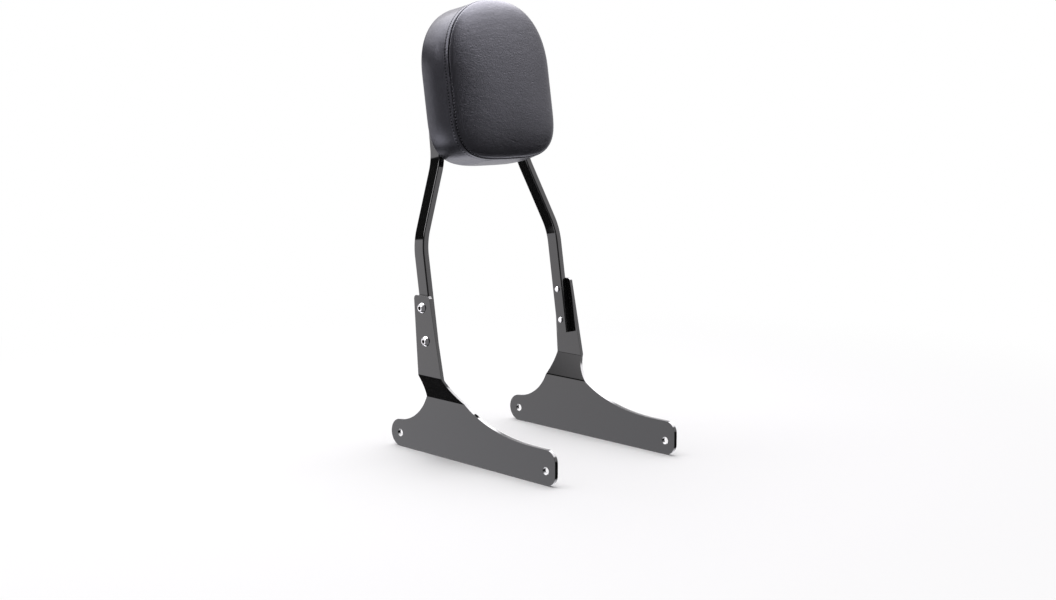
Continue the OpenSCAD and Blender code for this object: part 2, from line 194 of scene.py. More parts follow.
# The vinyl's relief. Its grain fades over the taut top, between these heights, and is fainter on
# the band.
PEBBLE_RISE = 0.00008
FINE_RISE = 0.00011
WRINKLE_RISE = 0.00020
WAVE_RISE = 0.00018
CREASE_FALL = 0.00009
TAUT_TOP = (0.50, 0.565)
TAUT_LOSS = 0.7
BAND_GRAIN = 0.35
FRONT_GAIN = 0.65
PANEL_CHANGE = 0.002

# The studio that glossy faces mirror: directions, edges as sines of height or of turn, and light
BACKDROP = (0.70, 0.71, 0)
LEFT_WALL = (-0.70, 0.71, 0)
LEFT_WALL_TOP = (0.17, 0.20)
LEFT_WALL_LIGHT = 1.3
LEFT_WALL_FOOT = (-0.33, -0.30)
LOW_LAMP = (-0.80, 0.42, -0.43)
LOW_LAMP_EDGE = (0.955, 0.99)
LOW_LAMP_LIGHT = 2.6
HIGH_LAMP = (-0.78, 0.02, 0.62)
HIGH_LAMP_EDGE = (0.972, 0.984)
HIGH_LAMP_LIGHT = 8.0
RIGHT_WALL_FOOT = (-0.01, 0.06)
RIGHT_WALL_LIGHT = 1.2
RIGHT_WALL_FALL = 0.4
RIGHT_WALL_BACK = (0.05, 0.35)
WALL_MEETING = (-0.15, 0.15)
WALL_ENDS = (-0.26, -0.12)
CEILING_EDGE = (0.46, 0.60)
CEILING_FRONT = (-0.45, -0.05)
CEILING_FALL = (-0.5, 0.8)
LEFT_CEILING_LIGHT = 2.5
RIGHT_CEILING_LIGHT = 8.4
BACKDROP_EDGE = (0.50, 0.62)
BACKDROP_FOOT = (-0.52, -0.40)
LOW_BACKDROP_LIGHT = 1.2
BACKDROP_LIGHT = 0.85
FLOOR_EDGE = (-0.62, -0.50)
FLOOR_SLANT = (-0.6, 0.1)
FLOOR_DROP = 0.18
FLOOR_BACK = (0.0, 0.3)
FLOOR_LIGHT = 2.3
FRONT_EDGE = (-0.50, -0.25)
FRONT_LIGHT = 0.14
DARK_ROOM = 0.03
AMBIENT = (0.15, 1.0)
AMBIENT_BACK = (-0.9, 0.7)
TINT_CHANGE = (-0.24, -0.18)
LOW_TINT = (0.965, 0.955, 1.0, 1)
HIGH_TINT = (1.0, 0.98, 1.01, 1)

# The lamp overhead, and the pale floor that turns white away from the object
SOFTBOX_PLACE = (-0.1, 0.5, 2.4)
SOFTBOX_AIM = (0, 0, 0.3)
SOFTBOX_SIZE = (2.2, 2.2)
SOFTBOX_POWER = 46
PALE = (0.86, 0.86, 0.86, 1)
WHITE = (1, 1, 1, 1)
FLOOR_FADE = (0.3, 1.3)
FLOOR_HALF = 30

# The camera, at the photograph's place and lens
CAMERA_PLACE = (-1.3609, -1.3958, 0.4760)
CAMERA_YAW = math.radians(44.099)
CAMERA_PITCH = math.radians(8.534)
CAMERA_LENS = 51.136
SENSOR_WIDTH = 36


class Flow:
    """One output of a node. Python's operators on it add Math nodes to its tree."""

    def __init__(self, tree, node, output=0):
        self.tree = tree
        self.node = node
        self.socket = used_socket(node.outputs, output)

    def also(self, output):
        """Another output of the same node."""
        return Flow(self.tree, self.node, output)

    def math(self, operation, *others):
        return self.tree.add("ShaderNodeMath", {"operation": operation}, dict(enumerate((self, *others))))

    def __add__(self, other):
        return self.math("ADD", other)

    def __sub__(self, other):
        return self.math("SUBTRACT", other)

    def __mul__(self, other):
        return self.math("MULTIPLY", other)

    def __rsub__(self, other):
        return self.tree.add("ShaderNodeMath", {"operation": "SUBTRACT"}, {0: other, 1: self})

    def __abs__(self):
        return self.math("ABSOLUTE")

    __radd__ = __add__
    __rmul__ = __mul__

    def ramp(self, low, high):
        """0 below low and 1 above high, with a smooth rise between them."""
        settings = {"interpolation_type": "SMOOTHSTEP"}
        limits = {"Value": self, "From Min": low, "From Max": high}
        return self.tree.add("ShaderNodeMapRange", settings, limits)


class Tree:
    """A node tree that is filled by one method."""

    def __init__(self, tree):
        self.tree = tree
        tree.nodes.clear()

    def add(self, kind, settings=None, inputs=None, output=0):
        """Adds a node. Its settings are set first, and then its sockets get values or links."""
        node = self.tree.nodes.new(kind)
        for name, value in (settings or {}).items():
            setattr(node, name, value)
        for key, value in (inputs or {}).items():
            socket = used_socket(node.inputs, key)
            if isinstance(value, Flow):
                self.tree.links.new(value.socket, socket)
            else:
                socket.default_value = value
        return Flow(self, node, output) if node.outputs else node

    def mix(self, factor, first, second):
        """A colour between two colours."""
        colours = {"Factor": factor, "A": first, "B": second}
        return self.add("ShaderNodeMix", {"data_type": "RGBA"}, colours)

    def noise(self, place, scale, detail=2, roughness=0.5):
        sizes = {"Vector": place, "Scale": scale, "Detail": detail, "Roughness": roughness}
        return self.add("ShaderNodeTexNoise", {}, sizes)

    def stretched(self, place, scale):
        """A place with each axis scaled, so that a pattern on it is drawn out along the small ones."""
        return self.add("ShaderNodeMapping", {}, {"Vector": place, "Scale": scale})


def used_socket(sockets, key):
    """The socket of that name or number, among those that the node's settings leave in use."""
    used = [s for s in sockets if s.enabled]
    return used[key] if isinstance(key, int) else next(s for s in used if s.name == key)


def new_material(name):
    material = bpy.data.materials.new(name)
    material.use_nodes = True
    return material, Tree(material.node_tree)


def surface(tree, fixed, varying, normal=None):
    """Ends a material with one Principled shader."""
    inputs = {**fixed, **varying}
    if normal is not None:
        inputs["Normal"] = normal
    shader = tree.add("ShaderNodeBsdfPrincipled", {}, inputs)
    tree.add("ShaderNodeOutputMaterial", {}, {"Surface": shader})


def bump(tree, height, distance):
    return tree.add("ShaderNodeBump", {}, {"Height": height, "Distance": distance, "Strength": 1.0})


def gloss_black_enamel():
    """Deep black enamel with a clear, slightly uneven gloss."""
    material, tree = new_material("gloss_black_enamel")
    place = tree.add("ShaderNodeTexCoord", output="Object")
    peel = tree.noise(place, 260, 2)
    dust = tree.noise(place, 1900, 3, 0.6)
    colour = tree.mix(dust.ramp(0.35, 0.75), (0.0025, 0.0024, 0.0024, 1), (0.0045, 0.0043, 0.0044, 1))
    rough = 0.045 + dust * 0.03
    fixed = {"IOR": 1.5, "Coat Weight": 1.0, "Coat Roughness": 0.02, "Coat IOR": 1.4}
    surface(tree, fixed, {"Base Color": colour, "Roughness": rough}, bump(tree, peel, 0.000008))
    return material


def bright_chrome():
    """Polished plating with faint haze and pits."""
    material, tree = new_material("bright_chrome")
    place = tree.add("ShaderNodeTexCoord", output="Object")
    haze = tree.noise(place, 900, 3)
    depth = tree.add("ShaderNodeAttribute", {"attribute_name": "depth"}, output="Fac")
    colour = tree.mix(haze, (0.74, 0.74, 0.75, 1), (0.84, 0.84, 0.85, 1))
    # Painted shade: the plating turns brown-black where the depth mask marks the inside of a socket
    colour = tree.mix(depth, colour, (0.05, 0.04, 0.035, 1))
    surface(tree, {"Metallic": 1.0}, {"Base Color": colour, "Roughness": 0.05 + haze * 0.08})
    return material


def zinc_plate():
    """Dull bluish zinc on hardware."""
    material, tree = new_material("zinc_plate")
    place = tree.add("ShaderNodeTexCoord", output="Object")
    spangle = tree.add("ShaderNodeTexVoronoi", {}, {"Vector": place, "Scale": 700}, "Color")
    tone = tree.add("ShaderNodeSeparateColor", {}, {"Color": spangle})
    colour = tree.mix(tone, (0.5, 0.51, 0.52, 1), (0.66, 0.66, 0.65, 1))
    varying = {"Base Color": colour, "Roughness": 0.3 + tone * 0.14}
    surface(tree, {"Metallic": 1.0}, varying, bump(tree, tree.noise(place, 4000, 2), 0.00001))
    return material


def grained_vinyl():
    """Black upholstery vinyl: pebbled grain, fine wrinkles across the pad and a few longer creases, with
    painted shade in the needle holes and the seam's crease.
    """
    material, tree = new_material("grained_vinyl")
    place = tree.add("ShaderNodeTexCoord", output="Object")
    flattened = tree.stretched(place, (0.6, 1, 1))
    pebbles = tree.add("ShaderNodeTexVoronoi", {}, {"Vector": flattened, "Scale": 900})
    fine = tree.noise(tree.stretched(place, (0.4, 1, 1)), 1000, 3, 0.6)
    wrinkles = tree.noise(tree.stretched(place, (0.42, 1, 1)), 470, 2, 0.55)
    waves = tree.noise(tree.stretched(place, (0.4, 1, 1)), 110, 2, 0.5)
    line = abs(tree.noise(tree.stretched(place, (0.3, 0.6, 1)), 75, 1, 0.4) - 0.5)
    creases = (1 - line.ramp(0.0, 0.035)) * tree.noise(place, 48, 1).ramp(0.56, 0.70)
    level = tree.add("ShaderNodeSeparateXYZ", {}, {"Vector": place}, "Z")
    front = tree.add("ShaderNodeAttribute", {"attribute_name": "front"}, output="Fac")
    slack = (1 - level.ramp(*TAUT_TOP) * TAUT_LOSS) * (front * FRONT_GAIN + BAND_GRAIN)
    grain = (1 - pebbles) * PEBBLE_RISE + fine * FINE_RISE + wrinkles * WRINKLE_RISE
    height = grain * slack + waves * WAVE_RISE - creases * slack * CREASE_FALL
    ridge = wrinkles.ramp(0.42, 0.66)
    # Painted shade: the depth mask darkens the vinyl to near black and makes it metallic, so its gloss
    # goes dark too, in the needle holes and the seam's crease
    depth = tree.add("ShaderNodeAttribute", {"attribute_name": "depth"}, output="Fac")
    colour = tree.mix(ridge, (0.0055, 0.0055, 0.0072, 1), (0.0090, 0.0090, 0.0118, 1))
    colour = tree.mix(depth, colour, (0.0005, 0.0005, 0.0006, 1))
    rough = 0.34 - ridge * 0.04 + fine * 0.06 + depth * 0.3
    fixed = {"IOR": 1.56, "Specular IOR Level": 0.90, "Specular Tint": (0.885, 0.885, 1, 1),
             "Sheen Weight": 0.05, "Sheen Roughness": 0.4, "Sheen Tint": (0.9, 0.9, 1, 1)}
    varying = {"Base Color": colour, "Roughness": rough, "Metallic": depth}
    surface(tree, fixed, varying, bump(tree, height, 1.0))
    return material


def thread(name, dark, light):
    """Twisted sewing thread."""
    material, tree = new_material(name)
    place = tree.add("ShaderNodeTexCoord", output="Object")
    twist = tree.noise(place, 2600, 2)
    colour = tree.mix(twist.ramp(0.35, 0.65), dark, light)
    varying = {"Base Color": colour, "Roughness": 0.6 + twist * 0.2}
    surface(tree, {"Specular IOR Level": 0.25}, varying, bump(tree, twist, 0.0001))
    return material


def back_plastic():
    """Moulded back panel with a fine even grain."""
    material, tree = new_material("back_plastic")
    place = tree.add("ShaderNodeTexCoord", output="Object")
    grain = tree.add("ShaderNodeTexVoronoi", {}, {"Vector": place, "Scale": 1400})
    colour = tree.mix(grain, (0.012, 0.012, 0.013, 1), (0.02, 0.02, 0.021, 1))
    surface(tree, {}, {"Base Color": colour, "Roughness": 0.42 + grain * 0.2}, bump(tree, grain, 0.00008))
    return material


def plywood():
    material, tree = new_material("plywood")
    place = tree.add("ShaderNodeTexCoord", output="Object")
    grain = tree.noise(tree.stretched(place, (1, 1, 0.08)), 320, 4, 0.6)
    colour = tree.mix(grain, (0.30, 0.19, 0.10, 1), (0.52, 0.37, 0.22, 1))
    surface(tree, {}, {"Base Color": colour, "Roughness": 0.6 + grain * 0.2}, bump(tree, grain, 0.0002))
    return material


def part_frame(points):
    """Points given as across, forward of the bar's middle and up along it, in the part's frame."""
    across, forward, up = np.moveaxis(np.asarray(points, float), -1, 0)
    y = HOOP_SETBACK + up * math.sin(LEAN) - forward * math.cos(LEAN)
    z = HOOP_RISE + up * math.cos(LEAN) + forward * math.sin(LEAN)
    return np.stack((across, y, z), -1)


def new_piece(name, vertices, faces, material=None):
    mesh = bpy.data.meshes.new(name)
    mesh.from_pydata([tuple(v) for v in vertices], [], faces)
    piece = bpy.data.objects.new(name, mesh)
    bpy.context.scene.collection.objects.link(piece)
    if material:
        mesh.materials.append(material)
    return piece


def store(piece, name, values):
    """Keeps one number for each point of a piece under a name."""
    piece.data.attributes.new(name, "FLOAT", "POINT").data.foreach_set("value", values)


def outward_faces(piece):
    work = bmesh.new()
    work.from_mesh(piece.data)
    bmesh.ops.recalc_face_normals(work, faces=work.faces)
    work.to_mesh(piece.data)
    work.free()


def made_plain(piece):
    """The piece's modifiers turned into its plain mesh."""
    bpy.context.view_layer.update()
    evaluated = piece.evaluated_get(bpy.context.evaluated_depsgraph_get())
    mesh = bpy.data.meshes.new_from_object(evaluated)
    piece.modifiers.clear()
    piece.data = mesh
    return piece


def node_input(modifier, name, value):
    """Sets a Geometry Nodes input of that name on a modifier."""
    items = modifier.node_group.interface.items_tree
    identifier = next(i.identifier for i in items if i.name == name and i.in_out == "INPUT")
    modifier[identifier] = value


def geometry_tree(name, inputs):
    """A Geometry Nodes tree with named inputs, and the flow of each."""
    group = bpy.data.node_groups.new(name, "GeometryNodeTree")
    group.interface.new_socket("Geometry", in_out="INPUT", socket_type="NodeSocketGeometry")
    group.interface.new_socket("Geometry", in_out="OUTPUT", socket_type="NodeSocketGeometry")
    for label, kind in inputs.items():
        group.interface.new_socket(label, in_out="INPUT", socket_type=kind)
    tree = Tree(group)
    return group, tree, tree.add("NodeGroupInput")


def run_tree(piece, group, **values):
    modifier = piece.modifiers.new(group.name, "NODES")
    modifier.node_group = group
    for name, value in values.items():
        node_input(modifier, name.replace("_", " "), value)
    return made_plain(piece)


def swept_bar_tree():
    """Sweeps a rounded bar along a path whose corners each have their own bend radius."""
    sizes = {"Width": "NodeSocketFloat", "Depth": "NodeSocketFloat", "Edge Radius": "NodeSocketFloat",
             "Bend Steps": "NodeSocketInt", "Edge Steps": "NodeSocketInt",
             "Material": "NodeSocketMaterial"}
    group, tree, given = geometry_tree("swept_bar", sizes)
    path = tree.add("GeometryNodeMeshToCurve", {}, {"Mesh": given.also("Geometry")})
    radius = tree.add("GeometryNodeInputNamedAttribute", {"data_type": "FLOAT"}, {"Name": "bend_radius"})
    fillet = {"Curve": path, "Count": given.also("Bend Steps"), "Radius": radius}
    path = tree.add("GeometryNodeFilletCurve", {"mode": "POLY"}, fillet)
    path = tree.add("GeometryNodeSetCurveNormal", {"mode": "Z_UP"}, {"Curve": path})
    frame_of_bar = {"Width": given.also("Width"), "Height": given.also("Depth")}
    section = tree.add("GeometryNodeCurvePrimitiveQuadrilateral", {"mode": "RECTANGLE"}, frame_of_bar)
    rounding = {"Curve": section, "Count": given.also("Edge Steps"), "Radius": given.also("Edge Radius")}
    section = tree.add("GeometryNodeFilletCurve", {"mode": "POLY"}, rounding)
    swept = {"Curve": path, "Profile Curve": section, "Fill Caps": True}
    bar = tree.add("GeometryNodeCurveToMesh", {}, swept)
    bar = tree.add("GeometryNodeSetMaterial", {}, {"Geometry": bar, "Material": given.also("Material")})
    tree.add("NodeGroupOutput", {}, {"Geometry": bar})
    return group


def hoop(material):
    middle_x = LEG_X - (UPPER_BEND - LOWER_BEND) * math.tan(MIDDLE_SLANT)
    top = HOOP_TOP - BAR_WIDTH / 2
    top_x = middle_x - (top - UPPER_BEND) * math.tan(UPPER_SLANT)
    left = [(LEG_X, -LEG_TAIL, 0), (LEG_X, LOWER_BEND, SIDE_BEND_RADIUS),
            (middle_x, UPPER_BEND, SIDE_BEND_RADIUS), (top_x, top, TOP_BEND_RADIUS)]
    path = left + [(-x, up, radius) for x, up, radius in reversed(left)]
    piece = new_piece("hoop_bar", [(x, up, 0) for x, up, radius in path], [])
    piece.data.edges.add(len(path) - 1)
    piece.data.edges.foreach_set("vertices", [v for i in range(len(path) - 1) for v in (i, i + 1)])
    store(piece, "bend_radius", [radius for x, up, radius in path])
    run_tree(piece, swept_bar_tree(), Width=BAR_WIDTH, Depth=BAR_DEPTH, Edge_Radius=BAR_EDGE_RADIUS,
             Bend_Steps=BEND_STEPS, Edge_Steps=EDGE_STEPS, Material=material)
    place = Matrix.Translation((0, HOOP_SETBACK, HOOP_RISE)) @ Matrix.Rotation(math.pi / 2 - LEAN, 4, "X")
    piece.data.transform(place)
    finish_edges(piece)
    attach(piece, "root")
    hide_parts("hoop")


def finish_edges(piece):
    """Outward faces, smooth across small angles, with flat faces kept flat."""
    outward_faces(piece)
    piece.data.shade_smooth()
    piece.data.set_sharp_from_angle(angle=SMOOTH_EDGE)
    weighted = piece.modifiers.new("flat_faces", "WEIGHTED_NORMAL")
    weighted.keep_sharp = True
    made_plain(piece)


def eased(node, material, radius, segments=2):
    """A copy of a CAD node with its sharp edges eased, which stands for the node."""
    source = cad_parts[node]
    piece = bpy.data.objects.new(node + "_finished", source.data.copy())
    bpy.context.scene.collection.objects.link(piece)
    work = bmesh.new()
    work.from_mesh(piece.data)
    bmesh.ops.remove_doubles(work, verts=work.verts, dist=SAME_POINT)
    bmesh.ops.dissolve_limit(work, angle_limit=FLAT_FACE, verts=work.verts, edges=work.edges)
    work.to_mesh(piece.data)
    work.free()
    piece.data.materials.clear()
    piece.data.materials.append(material)
    bevel = piece.modifiers.new("eased_edges", "BEVEL")
    bevel.width = radius
    bevel.segments = segments
    bevel.limit_method = "ANGLE"
    bevel.angle_limit = SHARP_EDGE
    made_plain(piece)
    finish_edges(piece)
    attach(piece, "root")
    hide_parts(node)
    return piece


def finished(node, material):
    """Gives a CAD node that stays as it is its own material."""
    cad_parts[node].data.materials.clear()
    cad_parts[node].data.materials.append(material)


def shade_socket(screw):
    """Marks the inside of a plate screw's socket, where the chrome's colour is darkened as painted shade.
    """
    spots = np.empty(len(screw.data.vertices) * 3)
    screw.data.vertices.foreach_get("co", spots)
    spots = spots.reshape(-1, 3)
    below = abs(spots[:, 0]).max() - abs(spots[:, 0])
    middle = (spots[:, 1:].max(axis=0) + spots[:, 1:].min(axis=0)) / 2
    off_axis = np.linalg.norm(spots[:, 1:] - middle, axis=1)
    inside = (below > SOCKET_RIM) & (below < SOCKET_DEPTH + SOCKET_MARGIN)
    inside &= off_axis < SOCKET_FLATS * SOCKET_REACH
    store(screw, "depth", inside.astype(float))


def outline_pattern(turns):
    """The pad's outline at shares of a full turn from the middle of its right side, by length.
    Each row is a share across, a share up, and 1 on the upper half or -1 on the lower one."""
    dense = np.radians(np.linspace(0, 180, OUTLINE_POINTS))
    halves = []
    for end, power in ((1, PAD_TOP_POWER), (-1, PAD_HEEL_POWER)):
        across = end * np.sign(np.cos(dense)) * np.abs(np.cos(dense)) ** (2 / power)
        up = end * np.abs(np.sin(dense)) ** (2 / power)
        halves.append(np.stack((across, up, np.full_like(up, end)), -1))
    loop = np.concatenate((*halves, halves[0][:1]))
    flat = outline_points(loop, 0, 0)
    length = np.concatenate(([0], np.cumsum(np.linalg.norm(np.diff(flat, axis=0), axis=1))))
    places = np.asarray(turns) * length[-1]
    return np.stack([np.interp(places, length, column) for column in loop.T], -1), places


def outline_points(pattern, flare, inset, shrink=1):
    """The outline as across and up along the leg. Its flare is 0 at the seam and 1 at the back edge."""
    across, up, end = pattern.T
    straight = (PAD_HEIGHT - PAD_CROWN_HEIGHT - PAD_HEEL_HEIGHT) / 2
    middle = PAD_LOW + PAD_HEEL_HEIGHT + straight
    crown = PAD_CROWN_HEIGHT + TOP_FLARE * flare - inset
    heel = PAD_HEEL_HEIGHT + HEEL_FLARE * flare - inset
    x = across * (PAD_HALF_WIDTH + SIDE_FLARE * flare - inset) * shrink
    z = middle + shrink * (end * straight + up * np.where(end > 0, crown, heel))
    return np.stack((x, z), -1)


def cover_rows(band_rows, crown_rows):
    """The cover's profile, from the flap round the back edge to the seam and over the crown.
    Each row is its flare, its inset, how far forward it is and its share of the outline."""
    band = np.concatenate([np.linspace(*span) for span in band_rows])
    crown = np.concatenate([np.linspace(*span) for span in crown_rows])
    rows = [(1, inset, 0, 1) for inset in np.linspace(FLAP_WIDTH, BAND_EDGE_RADIUS, FLAP_ROWS)[:-1]]
    for turn in np.radians(np.linspace(0, 90, EDGE_ROWS))[:-1]:
        inset = BAND_EDGE_RADIUS * (1 - math.sin(turn))
        rows.append((1, inset, BAND_EDGE_RADIUS * (1 - math.cos(turn)), 1))
    for forward in band:
        share = (forward - BAND_EDGE_RADIUS) / (BAND_DEPTH - BAND_EDGE_RADIUS)
        rows.append((1 - share ** 2, 0, forward, 1))
    for angle in np.radians(crown):
        share = math.cos(angle)
        rows.append((0, 0, BAND_DEPTH + CROWN_RISE * math.sqrt(1 - share ** CROWN_POWER), share))
    return rows


def cover_grid(pattern, rows):
    """Points of the cover, one line of them for each row, and how far each row is from the seam."""
    grid = []
    for flare, inset, forward, shrink in rows:
        flat = outline_points(pattern, flare, inset, shrink)
        grid.append(np.stack((flat[:, 0], np.full(len(flat), PAD_BACK + forward), flat[:, 1]), -1))
    grid = part_frame(np.array(grid))
    steps = np.linalg.norm(np.diff(grid, axis=0), axis=-1).mean(axis=1)
    away = np.concatenate(([0], np.cumsum(steps)))
    seam_row = next(i for i, row in enumerate(rows) if row[2] >= BAND_DEPTH)
    return grid, away - away[seam_row]


def grid_faces(rows, columns):
    """The quads of a grid whose lines close on themselves."""
    faces = []
    for start in range(0, (rows - 1) * columns, columns):
        for here in range(columns):
            after = (here + 1) % columns
            above = start + columns
            faces.append((start + here, start + after, above + after, above + here))
    return faces


def grid_normals(grid):
    around = np.roll(grid, -1, axis=1) - np.roll(grid, 1, axis=1)
    along = np.gradient(grid, axis=0)
    normals = np.cross(around, along)
    return normals / np.maximum(np.linalg.norm(normals, axis=-1, keepdims=True), 1e-12)


def smooth_between(wanted, places, values):
    """The rows of values at other places, on smooth curves through them."""
    slopes = np.gradient(values, places, axis=0)
    before = np.clip(np.searchsorted(places, wanted) - 1, 0, len(places) - 2)
    shape = (-1,) + (1,) * (values.ndim - 1)
    span = (places[before + 1] - places[before]).reshape(shape)
    after = before + 1
    t = (np.clip(wanted, places[0], places[-1]) - places[before]).reshape(shape) / span
    start = (2 * t ** 3 - 3 * t ** 2 + 1) * values[before]
    start = start + (t ** 3 - 2 * t ** 2 + t) * span * slopes[before]
    end = (3 * t ** 2 - 2 * t ** 3) * values[after] + (t ** 3 - t ** 2) * span * slopes[after]
    return start + end


def stuffed(grid, away):
    """How far each point of a coarse cover moves when the foam presses it out, by a cloth simulation."""
    piece = new_piece("stuffed_cover", grid.reshape(-1, 3), grid_faces(*grid.shape[:2]))
    held = piece.vertex_groups.new(name="held")
    columns = grid.shape[1]
    for row, distance in enumerate(away):
        weight = 1 if distance < -BAND_DEPTH else SEAM_HOLD * hill(distance, SEAM_HOLD_WIDTH)
        held.add(list(range(row * columns, (row + 1) * columns)), weight, "REPLACE")
    cloth = piece.modifiers.new("stuffing", "CLOTH")
    vinyl = cloth.settings
    vinyl.quality = CLOTH_QUALITY
    vinyl.mass = CLOTH_MASS
    vinyl.tension_stiffness = CLOTH_STRETCH
    vinyl.compression_stiffness = CLOTH_STRETCH
    vinyl.shear_stiffness = CLOTH_SHEAR
    vinyl.bending_stiffness = CLOTH_BENDING
    vinyl.use_pressure = True
    vinyl.uniform_pressure_force = CLOTH_PRESSURE
    vinyl.effector_weights.gravity = 0
    vinyl.vertex_group_mass = "held"
    cloth.point_cache.frame_end = CLOTH_FRAMES
    for number in range(1, CLOTH_FRAMES + 1):
        bpy.context.scene.frame_set(number)
    made_plain(piece)
    moved = np.empty(grid.size)
    piece.data.vertices.foreach_get("co", moved)
    bpy.data.objects.remove(piece)
    bpy.context.scene.frame_set(1)
    move = moved.reshape(grid.shape) - grid
    for _ in range(SMOOTHINGS):
        move = (move + np.roll(move, 1, axis=1) + np.roll(move, -1, axis=1)) / 3
        move[1:-1] = (move[:-2] + move[1:-1] + move[2:]) / 3
    size = np.linalg.norm(move, axis=-1, keepdims=True)
    return move * np.minimum(1, SWELL_LIMIT / np.maximum(size, 1e-9))


def swelling(away, turns):
    """The simulated movement of the coarse cover, carried over to the fine one."""
    pattern = outline_pattern(np.arange(STITCHES) / STITCHES)[0]
    coarse, coarse_away = cover_grid(pattern, cover_rows(COARSE_BAND_ROWS, COARSE_CROWN_ROWS))
    move = stuffed(coarse, coarse_away)
    move = smooth_between(away, coarse_away, move).swapaxes(0, 1)
    wrapped = np.concatenate((move[-LAP:], move, move[:LAP]))
    return smooth_between(turns * STITCHES, np.arange(-LAP, STITCHES + LAP), wrapped).swapaxes(0, 1)


def hill(distance, width):
    """1 at no distance, falling to 0 on both sides."""
    return np.exp(-(distance / width) ** 2)


def step_up(distance, ease):
    """0 well before a place and 1 well after it."""
    return 1 / (1 + np.exp(-distance / ease))


def sewn_relief(away, to_hole, turns):
    """Height of the seam, the turned-in allowance behind it and the needle holes, over the plain
    cover, and how much painted shade each point gets in a needle hole or in the seam's crease."""
    upness = np.sin(2 * math.pi * turns)
    ends = upness ** 2
    depth = SIDE_CREASE_DEPTH + (CREASE_DEPTH - SIDE_CREASE_DEPTH) * ends
    width = SIDE_CREASE_WIDTH + (CREASE_WIDTH - SIDE_CREASE_WIDTH) * ends
    strip = step_up(away + ALLOWANCE_WIDTH, ALLOWANCE_BACK_EASE)
    strip = strip * step_up(-(away + ALLOWANCE_FRONT), ALLOWANCE_FRONT_EASE)
    holes = hill(to_hole, NEEDLE_HOLE)
    top_holes = hill(away + TOPSTITCH_BACK, NEEDLE_HOLE) * holes
    lower = step_up(FRONT_HOLE_START - upness, FRONT_HOLE_FADE)
    front_holes = hill(away - FRONT_HOLE_PLACE, NEEDLE_HOLE) * holes * lower
    puckers = sum(hill(away - place, pucker) for place, pucker in PUCKERS)
    channel = hill(away + CHANNEL_BACK, CHANNEL_WIDTH)
    corners = hill(abs(turns - 0.25) - CHANNEL_CORNER, CHANNEL_LENGTH)
    relief = ALLOWANCE_RISE * strip - depth * hill(away, width)
    relief = relief - TOPSTITCH_HOLE_DEPTH * top_holes - FRONT_HOLE_DEPTH * front_holes
    relief = relief - PUCKER_DEPTH * puckers * hill(to_hole, PUCKER_LENGTH)
    relief = relief - CHANNEL_DEPTH * channel * corners
    # Painted shade, near black, in the needle holes and along the seam's crease
    dark = np.maximum(TOPSTITCH_HOLE_SHADE * top_holes, FRONT_HOLE_SHADE * front_holes)
    return relief, np.maximum(np.minimum(1, dark), hill(away, width))


def corner_folds(forward, turns):
    """Shallow folds where the band is pulled round the pad's corners."""
    share = (forward - BAND_EDGE_RADIUS) / (BAND_DEPTH - BAND_EDGE_RADIUS)
    fade = np.sin(math.pi * np.clip(share, 0, 1) ** FOLD_START_POWER) * (share < FOLD_END)
    total = np.zeros((len(forward), len(turns)))
    for turn, slant, width, rise in BAND_FOLDS:
        for middle in (turn, 0.5 - turn):
            lean = slant if middle == turn else -slant
            gap = (turns[None, :] - middle - lean * share[:, None] + 0.5) % 1 - 0.5
            total += rise * hill(gap, width) * fade[:, None]
    return total


def pad_cover(vinyl, black_thread, grey_thread):
    """The sewn vinyl cover, stuffed by simulation, with its seam, allowance, holes and stitches."""
    turns = (np.arange(STITCHES)[:, None] + np.array(STITCH_COLUMNS)).ravel() / STITCHES
    pattern, places = outline_pattern(turns)
    rows = cover_rows(BAND_ROWS, CROWN_ROWS)
    grid, away = cover_grid(pattern, rows)
    grid = grid + swelling(away, turns)
    normals = grid_normals(grid)
    step = places[len(STITCH_COLUMNS)]
    share = np.array(STITCH_COLUMNS * STITCHES)
    to_hole = np.minimum(share, 1 - share) * step
    forward = np.array([row[2] for row in rows])
    relief, depth = sewn_relief(away[:, None], to_hole[None, :], turns[None, :])
    relief = relief + corner_folds(forward, turns)
    sewn = grid + normals * relief[..., None]
    faces = grid_faces(len(rows), len(pattern))
    faces.append(tuple(range(len(pattern)))[::-1])
    faces.append(tuple(range((len(rows) - 1) * len(pattern), len(rows) * len(pattern))))
    piece = new_piece("pad_cover", sewn.reshape(-1, 3), faces, vinyl)
    # The depth mask carries the painted shade of the needle holes and the crease
    store(piece, "depth", depth.ravel())
    store(piece, "front", np.repeat(step_up(away, PANEL_CHANGE), len(pattern)))
    outward_faces(piece)
    piece.data.shade_smooth()
    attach(piece, "root")
    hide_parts("pad_front_panel", "pad_side_band", "pad_foam")
    middle = STITCH_COLUMNS.index(0.5)
    power = np.where(turns < 0.5, UPPER_SINK_POWER, LOWER_SINK_POWER)
    ends = np.abs(np.sin(2 * math.pi * turns)) ** power
    for name, distance, length, lift, sink, thread in (
            ("topstitch", -TOPSTITCH_BACK, TOPSTITCH_LENGTH, TOPSTITCH_LIFT, 0, black_thread),
            ("seam_stitches", SEAM_STITCH_PLACE, SEAM_STITCH_LENGTH, SEAM_STITCH_LIFT,
             SEAM_STITCH_SINK, grey_thread)):
        row = int(np.argmin(np.abs(away - distance)))
        course = np.roll(grid[row], -1, axis=0) - np.roll(grid[row], 1, axis=0)
        chosen = slice(middle, None, len(STITCH_COLUMNS))
        spots = grid[row][chosen] + normals[row][chosen] * (lift - sink * ends[chosen, None])
        stitches(name, spots, course[chosen], normals[row][chosen], length, thread)


